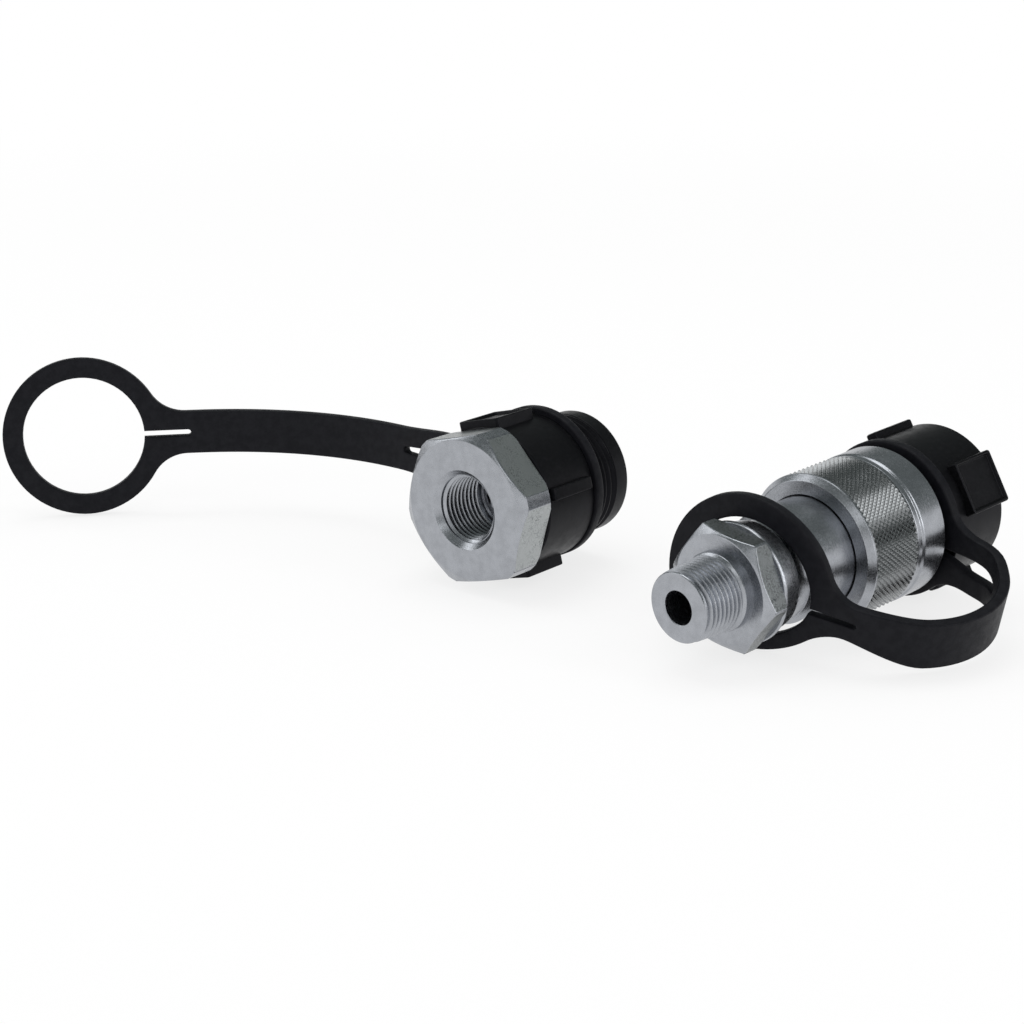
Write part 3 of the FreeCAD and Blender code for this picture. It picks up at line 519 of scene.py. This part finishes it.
def makeCollar():
    d = collar
    bm = bmesh.new()
    low = d["radius"] - d["knurlDepth"]
    lathe(bm, [(d["bore"], d["start"], 0.12), (d["face"] - 0.85, d["start"], 0.12),
               (d["radius"] - 0.05, d["start"] + d["chamfer"], 0.1), (d["radius"] - 0.05, d["knurlStart"], 0.05),
               (low, d["knurlStart"] + 0.2), (low, d["knurlEnd"] - 0.2),
               (d["waist"], d["knurlEnd"], 0.05), (d["waist"], 59.6, 0.2), (d["radius"], 60.1, 0.3),
               (d["radius"], d["end"], 0.35), (16.0, d["end"], 0.1), (d["screw"], d["end"] - 0.7),
               (d["screw"], 49.65), (d["bore"], 47.4), (d["bore"], 46.05), (13.7, 45.2), (d["bore"], 44.35)], 160)
    knurl = bmesh.new()
    rows, around = d["knurlRows"], d["knurlAround"]
    step = (d["knurlEnd"] - 0.3 - d["knurlStart"]) / rows
    points = [knurl.verts.new((low, d["knurlStart"] + 0.15 + step * row, 0)) for row in range(rows + 1)]
    for first, second in zip(points, points[1:]):
        knurl.edges.new((first, second))
    bmesh.ops.spin(knurl, geom=knurl.verts[:] + knurl.edges[:], cent=(0, 0, 0), axis=(0, 1, 0), angle=fullTurn,
                   steps=around, use_merge=True)
    bmesh.ops.remove_doubles(knurl, verts=knurl.verts, dist=0.0005)
    grooves = []
    for vert in knurl.verts:
        row = round((vert.co.y - d["knurlStart"] - 0.15) / step)
        column = round(math.atan2(vert.co.z, vert.co.x) / fullTurn * around)
        if (row + column) % 2:
            scale = 1 + (0 if row in (0, rows) else 1) * d["knurlDepth"] / low
            vert.co.x *= scale
            vert.co.z *= scale
        else:
            grooves.append(vert)
    bmesh.ops.connect_verts(knurl, verts=grooves)
    bmesh.ops.recalc_face_normals(knurl, faces=knurl.faces)
    for face in knurl.faces:
        face.material_index = 1
        face.smooth = False
    addPart(bm, knurl)
    finishPiece("collarPiece", bm, maleHalf, [maleSteel, knurlSteelPaintedShade], "collar", ["male_collar"],
                sharp=24.0)


makeCollar()
print("collar made")


# Dust caps: cup, two wide lugs with a recess, two ribs, strap groove and screwed spigot

cap = {"radius": 17.5, "cup": 15.3, "grip": 16.4, "cupDepth": 15.4, "core": 12.75, "spigot": 15.0, "root": 14.35,
       "groove": 14.2, "grooveWidth": 3.0, "end": 16.6, "wall": 2.0, "pitch": 1.9, "turns": 4.2,
       "lugReach": 19.05, "lugWidth": 12.3, "lugLength": 13.0, "lugBorder": 1.1, "lugRecess": 0.7,
       "ribReach": 19.3, "ribWidth": 3.0, "ribLength": 13.6, "round": 0.3, "corner": 0.7,
       "lugFoot": 14.9, "ribFoot": 15.6, "ribRound": 0.5}


def addBlock(low, high, rounding, recess=None):
    block = bmesh.new()
    size = [high[i] - low[i] for i in range(3)]
    middle = [(high[i] + low[i]) / 2 for i in range(3)]
    bmesh.ops.create_cube(block, size=1.0, matrix=Matrix.Translation(middle) @ Matrix.Diagonal((*size, 1)))
    if recess:
        border, depth, corner = recess
        outer = [face for face in block.faces if face.normal.z > 0.9]
        bmesh.ops.inset_region(block, faces=outer, thickness=border, depth=0)
        bmesh.ops.inset_region(block, faces=outer, thickness=0.12, depth=-depth)
        upright = [edge for edge in block.edges if abs(edge.verts[0].co.z - edge.verts[1].co.z) > size[2] - 0.1]
        bmesh.ops.bevel(block, geom=upright, offset=corner, offset_type="OFFSET", segments=4, profile=0.5,
                        affect="EDGES", material=-1)
    edges = [edge for edge in block.edges if edge.calc_face_angle(0) > 0.6
             and edge.verts[0].co.z + edge.verts[1].co.z > low[2] * 2 + 0.4]
    bmesh.ops.bevel(block, geom=edges, offset=rounding, offset_type="OFFSET", segments=2, profile=0.5, affect="EDGES",
                    material=-1)
    return block


def makeCap(name, place, material, body, node):
    d = cap
    bm = bmesh.new()
    mouth = -d["grip"]
    lathe(bm, [(0, d["end"]), (d["spigot"], d["end"], 0.9), (d["spigot"], d["grooveWidth"] + 8.9, 0.15),
               (d["root"], d["grooveWidth"] + 8.5, 0.1), (d["root"], d["grooveWidth"], 0.12),
               (d["groove"], d["grooveWidth"], 0.1),
               (d["groove"], 0.0, 0.1), (d["radius"], 0, 0.4), (d["radius"], mouth, 0.5), (d["cup"], mouth, 0.15),
               (d["cup"], mouth + d["cupDepth"], 0.2), (d["core"], mouth + d["cupDepth"], 0.2),
               (d["core"], d["end"] - d["wall"], 0.4), (0, d["end"] - d["wall"])], 144)
    threadRidge(bm, d["root"], d["spigot"] - d["root"], d["pitch"], d["grooveWidth"] + 0.95, d["turns"], base=0.8,
                crest=0.14)
    start = mouth + 0.5
    for side in (0, 180):
        lug = addBlock((-d["lugWidth"] / 2, start, d["lugFoot"]),
                       (d["lugWidth"] / 2, start + d["lugLength"], d["lugReach"]),
                       d["round"], (d["lugBorder"], d["lugRecess"], d["corner"]))
        lug.transform(turned(side, "Y"))
        addPart(bm, lug)
        rib = addBlock((-d["ribWidth"] / 2, start, d["ribFoot"]),
                       (d["ribWidth"] / 2, start + d["ribLength"], d["ribReach"]), d["ribRound"])
        rib.transform(turned(side + 90, "Y"))
        addPart(bm, rib)
    finishPiece(name, bm, place, [material], body, [node], sharp=40.0)


makeCap("femaleCapPiece", femaleCapPlace, femalePlastic, "cap_female", "female_cap")
makeCap("maleCapPiece", maleCapPlace, malePlastic, "cap_male", "male_cap")
print("caps made")


# Straps: moulded flat, then bent along their line

strap = {"width": 11.2, "thick": 2.5, "loop": 20.5, "loopHole": 15.4, "seat": 18.4, "seatHole": 14.9, "flare": 10.0,
         "slit": 1.6, "edge": 0.4, "stepLength": 1.4, "arcPoints": 10}
femaleStrap = {"runs": [(45.0, 68.7, 50.3, 0.0), (27.3, 0, 0, 4.5)], "seatSlit": 28.9, "loopSlit": 12.0, "soft": 14.0,
               "lift": 0.65, "slitOpen": 0.8}
maleStrap = {"runs": [(26.78, 5.0, 37.33, 2.24), (0.5, 23.16, 127.79, 0.72), (7.71, 107.19, 8.55, 5.82)],
             "seatSlit": 18.6, "loopSlit": 11.0, "soft": 5.0, "drop": 14.87, "lift": -0.36, "pressKeep": 0.63,
             "pressLean": 19.8, "pressSoft": 4.0, "pressFull": 1.1, "pressFade": 2.0, "slitOpen": 1.1,
             "blendStart": 30.0, "blendEnd": 68.0}


def addSpline(curve, points):
    spline = curve.splines.new("POLY")
    spline.points.add(len(points) - 1)
    for point, (x, y) in zip(spline.points, points):
        point.co = (x, y, 0, 1)
    spline.use_cyclic_u = True


def arc(centre, radius, first, last, count):
    return [(centre[0] + radius * math.cos(first + (last - first) * k / count),
             centre[1] + radius * math.sin(first + (last - first) * k / count)) for k in range(count + 1)]


# Outline of one end: ring with flared shoulders, for a ring centre at x and a strap leaving along way
def ringEnd(x, outer, way):
    half, flare = strap["width"] / 2, strap["flare"]
    root = math.sqrt((outer + flare) ** 2 - (half + flare) ** 2)
    lean = math.atan2(half + flare, root)
    upper = arc((root, half + flare), flare, -math.pi / 2, lean - math.pi, strap["arcPoints"])
    ring = arc((0, 0), outer, lean, fullTurn - lean, 72)
    lower = [(px, -py) for px, py in reversed(upper)]
    points = upper + ring[1:-1] + lower
    return [(x + way * px, way * py) for px, py in points]


# Hole of a ring with the slit that runs from it into the strap
def holeEnd(x, hole, slit, way):
    half = strap["slit"] / 2
    lean = math.asin(half / hole)
    ring = arc((0, 0), hole, lean, fullTurn - lean, 64)
    tip = arc((hole + slit - half, 0), half, -math.pi / 2, math.pi / 2, 8)
    return [(x + way * px, way * py) for px, py in reversed(ring + tip)]


def flatStrap(length, seatSlit, loopSlit):
    curve = bpy.data.curves.new("strapOutline", "CURVE")
    curve.dimensions = "2D"
    curve.fill_mode = "BOTH"
    curve.offset = -strap["edge"]
    curve.extrude = strap["thick"] / 2 - strap["edge"]
    curve.bevel_depth = strap["edge"]
    curve.bevel_resolution = 2
    addSpline(curve, ringEnd(0, strap["seat"], 1) + ringEnd(length, strap["loop"], -1))
    addSpline(curve, holeEnd(0, strap["seatHole"], seatSlit, 1))
    addSpline(curve, holeEnd(length, strap["loopHole"], loopSlit, -1))
    holder = bpy.data.objects.new("strapOutline", curve)
    bpy.context.scene.collection.objects.link(holder)
    bpy.context.view_layer.update()
    mesh = bpy.data.meshes.new_from_object(holder.evaluated_get(bpy.context.evaluated_depsgraph_get()))
    bm = bmesh.new()
    bm.from_mesh(mesh)
    bpy.data.objects.remove(holder)
    bpy.data.meshes.remove(mesh)
    bmesh.ops.remove_doubles(bm, verts=bm.verts, dist=0.0008)
    return bm


def crossCut(bm, first, last, step, direction):
    count = int((last - first) / step)
    for index in range(1, count):
        bmesh.ops.bisect_plane(bm, geom=bm.verts[:] + bm.edges[:] + bm.faces[:], dist=0.00001,
                               plane_co=direction * (first + index * step), plane_no=direction)


# Share of a bend that is turned at q, eased in and out over the soft length
def easedTurn(q, start, length, soft):
    reach = max(length, 0.1)
    share = (q - start + soft / 2) / (reach + soft)
    share = max(0.0, min(1.0, share))
    ramp = min(soft / (reach + soft), 0.5)
    height = 1 / (1 - ramp)
    if share < ramp:
        return height * share * share / (2 * ramp)
    if share > 1 - ramp:
        return 1 - height * (1 - share) ** 2 / (2 * ramp)
    return height * (share - ramp / 2)


# Line of the bent strap: places every half millimetre, each with its own frame
def strapLine(runs, soft):
    bends, twists, reached = [], [], 0.0
    for length, radius, turn, twist in runs:
        if twist:
            twists.append((reached, length, twist))
        reached += length
        if turn:
            span = radius * math.radians(turn)
            bends.append((reached, span, turn))
            reached += span
    step, q = 0.5, 0.0
    place = Matrix.Identity(4)
    line = [place.copy()]
    while q < reached:
        size = min(step, reached - q)
        turnNow = sum(turn * (easedTurn(q + size, start, span, soft) - easedTurn(q, start, span, soft))
                      for start, span, turn in bends)
        twistNow = sum(twist * (easedTurn(q + size, start, span, soft) - easedTurn(q, start, span, soft))
                       for start, span, twist in twists)
        half = turned(-turnNow / 2, "Z")
        place = place @ half @ shift(x=size) @ half @ turned(twistNow, "X")
        line.append(place.copy())
        q += size
    return line, reached, step


def bendStrap(bm, line, length, step):
    for vert in bm.verts:
        q = vert.co.x
        index = max(0, min(len(line) - 2, int(q // step)))
        start, end = line[index], line[index + 1]
        span = step if index < len(line) - 2 else length - step * index
        share = (q - step * index) / span
        local = Vector((0, -vert.co.z, vert.co.y))
        before = start @ (local + Vector((q - step * index, 0, 0)))
        after = end @ (local + Vector((q - step * index - span, 0, 0)))
        share = max(0.0, min(1.0, share))
        vert.co = before.lerp(after, share)


# Lower half of a loop that stands on the floor: pressed flatter in its own plane
def pressed(point, centre, down, keep, d):
    depth = (point - centre).dot(down)
    if depth <= 0:
        return point.copy()
    along = (centre.x - point.x) / strap["loop"]
    share = max(0.0, min(1.0, (d["pressFade"] - along) / (d["pressFade"] - d["pressFull"])))
    share = share * share * (3 - 2 * share)
    lift = (1 - keep) * (math.hypot(depth, d["pressSoft"]) - d["pressSoft"]) * share
    return point - down * lift


def pressLoop(bm, length, loopFrame, world, d):
    tilt = math.radians(d["pressLean"])
    down = Vector((-math.sin(tilt), -math.cos(tilt), 0))
    centre = Vector((length, 0, 0))
    low = [vert.co.copy() for vert in bm.verts if vert.co.x > length - strap["loop"]]

    def floorGap(keep):
        heights = []
        for point in low:
            moved = pressed(point, centre, down, keep, d) - centre
            heights.append((world @ loopFrame @ Vector((moved.x, -moved.z, moved.y))).z)
        return min(heights)

    keep = d["pressKeep"]
    while keep > 0.3 and floorGap(keep) < 0:
        keep -= 0.01
    for vert in bm.verts:
        if vert.co.x > length - strap["loop"] * d["pressFade"]:
            vert.co = pressed(vert.co, centre, down, keep, d)
    return keep


# Parts the two branches beside a seat's slit, where the strap is pulled round
def openSlit(bm, d):
    start = strap["seatHole"] - 1
    span = d["seatSlit"] + 3
    for vert in bm.verts:
        share = (vert.co.x - start) / span
        if 0 < share < 1:
            vert.co.y += math.copysign(d["slitOpen"] * math.sin(math.pi * share) ** 2, vert.co.y)


def makeStrap(name, place, d, material, node, blendBody=None):
    line, length, step = strapLine(d["runs"], d["soft"])
    bm = flatStrap(length, d["seatSlit"], d["loopSlit"])
    crossCut(bm, -20, length + 21, strap["stepLength"], Vector((1, 0, 0)))
    if "slitOpen" in d:
        openSlit(bm, d)
    if "pressKeep" in d:
        print("lower half of the loop pressed to", round(pressLoop(bm, length, line[-1], place, d), 2))
    bendStrap(bm, line, length, step)
    bmesh.ops.recalc_face_normals(bm, faces=bm.faces)
    return finishPiece(name, bm, place, [material], None, [node], sharp=50.0, weighted=False)


femaleRing = (femaleHalf @ shift(y=layout["femaleSeat"] + 0.1 + strap["thick"] / 2, z=femaleStrap["lift"])
              @ turned(180, "Y"))
femaleStrapPiece = makeStrap("femaleStrapPiece", femaleRing, femaleStrap, femaleRubber, "female_strap")
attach(femaleStrapPiece, "strap_female")
dropTurn = turned(maleStrap["drop"], "Y")
maleRing = (maleHalf @ shift(y=layout["maleSeat"] - 0.1 - strap["thick"] / 2) @ dropTurn
            @ shift(z=maleStrap["lift"]))
maleStrapPiece = makeStrap("maleStrapPiece", maleRing, maleStrap, maleRubber, "male_strap")
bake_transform(maleStrapPiece)
print("straps made")


# Valve springs: drawn as wire

spring = {"radius": 3.4, "wire": 0.45, "turns": 4.0, "height": 5.35, "start": 8.45, "anchor": 8.95, "keep": 0.55,
          "femaleSeat": 27.0, "maleSeat": 50.1, "steps": 36}


def makeSpring(name, place, seat, material, node):
    d = spring
    bm = bmesh.new()
    start = shift(d["radius"], seat - d["start"])
    made = bmesh.ops.create_circle(bm, cap_ends=True, segments=12, radius=d["wire"], matrix=start)
    faces = list({face for vert in made["verts"] for face in vert.link_faces})
    count = int(d["steps"] * d["turns"])
    bmesh.ops.spin(bm, geom=faces + bm.edges[:] + made["verts"], cent=(0, 0, 0), axis=(0, 1, 0),
                   dvec=(0, d["height"] / count, 0), angle=fullTurn * d["turns"], steps=count)
    bmesh.ops.remove_doubles(bm, verts=bm.verts, dist=0.0005)
    bmesh.ops.recalc_face_normals(bm, faces=bm.faces)
    piece = finishPiece(name, bm, place, [material], "halves", [node], sharp=50.0,
                        weighted=False)
    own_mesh(piece)


makeSpring("femaleSpringPiece", femaleHalf, spring["femaleSeat"], springSteelFemale, "female_valve_spring")
makeSpring("maleSpringPiece", maleHalf, spring["maleSeat"], springSteelMale, "male_valve_spring")


# The pieces inside keep their own solids and get their finish

insideFinish = {
    "female_valve_guide": femaleSteel, "female_poppet": femaleSteel,
    "female_poppet_seal": sealRubber, "female_guide_clip": springSteelFemale, "female_socket_seal": sealRubber,
    "female_backup_ring": backupPlastic, "male_nose": maleSteel, "collar_wire": springSteelMale,
    "male_nose_seal": sealRubberMale, "male_valve_guide": maleSteel,
    "male_poppet": maleSteel, "male_poppet_seal": sealRubberMale,
}
for nodeName, finish in insideFinish.items():
    mesh = nodes[nodeName].data
    if mesh.materials:
        for index in range(len(mesh.materials)):
            mesh.materials[index] = finish
    else:
        mesh.materials.append(finish)
print("inside pieces finished")


# Floor, world and lamps

studio = {"floorSize": 8.0, "floorColor": 0.86, "floorNear": 0.78, "floorFar": 1.0, "nearEdge": 0.25, "farEdge": 0.9,
          "worldLevel": 0.7, "canopy": (0.17, 0.19, 0.185), "canopyRadius": 2.6, "canopyFrom": 14.0}
lamps = [
    {"name": "top", "at": (-0.15, 0.1, 1.1), "size": (0.9, 0.6), "power": 4.0},
    {"name": "left", "at": (-1.1, -0.5, 0.75), "size": (0.6, 0.8), "power": 3.0},
    {"name": "right", "at": (1.0, 0.25, 0.5), "size": (0.3, 0.9), "power": 2.5},
    {"name": "front", "at": (0.35, -1.1, 0.7), "size": (0.9, 0.4), "power": 1.5},
]


# Strength that only the camera, reflections and clear pieces see
def seenWhite(tree, strength):
    path = addNode(tree, "ShaderNodeLightPath")
    direct = mathNode(tree, "MAXIMUM", path.outputs["Is Camera Ray"], path.outputs["Is Glossy Ray"])
    seen = mathNode(tree, "MAXIMUM", direct, path.outputs["Is Transmission Ray"])
    return mathNode(tree, "MULTIPLY", seen, strength)


def stagePiece(name, bm):
    mesh = bpy.data.meshes.new(name)
    bm.to_mesh(mesh)
    bm.free()
    piece = bpy.data.objects.new(name, mesh)
    bpy.context.scene.collection.objects.link(piece)
    return piece


def makeFloor():
    bm = bmesh.new()
    bmesh.ops.create_grid(bm, x_segments=4, y_segments=4, size=studio["floorSize"] / 2)
    floor = stagePiece("floor", bm)
    material = bpy.data.materials.new("floorWhite")
    material.use_nodes = True
    tree = material.node_tree
    tree.nodes.clear()
    level = studio["floorColor"]
    diffuse = addNode(tree, "ShaderNodeBsdfDiffuse", in_Color=(level, level, level, 1))
    glow = addNode(tree, "ShaderNodeEmission", in_Strength=1.0)
    mix = addNode(tree, "ShaderNodeMixShader")
    output = addNode(tree, "ShaderNodeOutputMaterial")
    coordinates = addNode(tree, "ShaderNodeTexCoord")
    away = addNode(tree, "ShaderNodeVectorMath", operation="LENGTH")
    join(tree, coordinates.outputs["Object"], away.inputs[0])
    share = spread(tree, away.outputs["Value"], studio["nearEdge"], studio["farEdge"], studio["floorNear"],
                   studio["floorFar"])
    join(tree, seenWhite(tree, share), mix.inputs[0])
    join(tree, diffuse.outputs[0], mix.inputs[1])
    join(tree, glow.outputs[0], mix.inputs[2])
    join(tree, mix.outputs[0], output.inputs[0])
    floor.data.materials.append(material)


def makeWorld():
    world = bpy.data.worlds.new("studio")
    bpy.context.scene.world = world
    world.use_nodes = True
    tree = world.node_tree
    tree.nodes.clear()
    plain = addNode(tree, "ShaderNodeBackground", in_Color=(1, 1, 1, 1), in_Strength=studio["worldLevel"])
    white = addNode(tree, "ShaderNodeBackground", in_Color=(1, 1, 1, 1), in_Strength=1.0)
    mix = addNode(tree, "ShaderNodeMixShader")
    output = addNode(tree, "ShaderNodeOutputWorld")
    join(tree, seenWhite(tree, 1.0), mix.inputs[0])
    join(tree, plain.outputs[0], mix.inputs[1])
    join(tree, white.outputs[0], mix.inputs[2])
    join(tree, mix.outputs[0], output.inputs[0])


def aim(item, place):
    item.location = place
    item.rotation_euler = (Vector((0, 0, 0.02)) - Vector(place)).to_track_quat("-Z", "Y").to_euler()


def makeLamp(d):
    data = bpy.data.lights.new(d["name"], "AREA")
    data.shape = "RECTANGLE"
    data.size, data.size_y = d["size"]
    data.energy = d["power"]
    lamp = bpy.data.objects.new(d["name"], data)
    bpy.context.scene.collection.objects.link(lamp)
    aim(lamp, d["at"])


# Grey canopy that only reflections show
def makeCanopy():
    bm = bmesh.new()
    bmesh.ops.create_uvsphere(bm, u_segments=64, v_segments=32, radius=studio["canopyRadius"])
    low = math.sin(math.radians(studio["canopyFrom"])) * studio["canopyRadius"]
    bmesh.ops.bisect_plane(bm, geom=bm.verts[:] + bm.edges[:] + bm.faces[:], plane_co=(0, 0, low),
                           plane_no=(0, 0, -1), clear_outer=True)
    canopy = stagePiece("canopy", bm)
    material = bpy.data.materials.new("canopyCloth")
    material.use_nodes = True
    tree = material.node_tree
    tree.nodes.clear()
    glow = addNode(tree, "ShaderNodeEmission", in_Color=(*studio["canopy"], 1), in_Strength=1.0)
    output = addNode(tree, "ShaderNodeOutputMaterial")
    join(tree, glow.outputs[0], output.inputs[0])
    canopy.data.materials.append(material)
    canopy.visible_camera = False
    canopy.visible_shadow = False
    canopy.visible_diffuse = False
    canopy.visible_transmission = False


makeFloor()
makeWorld()
for lamp in lamps:
    makeLamp(lamp)
makeCanopy()
bpy.context.scene.view_settings.view_transform = "Standard"
print("studio made")
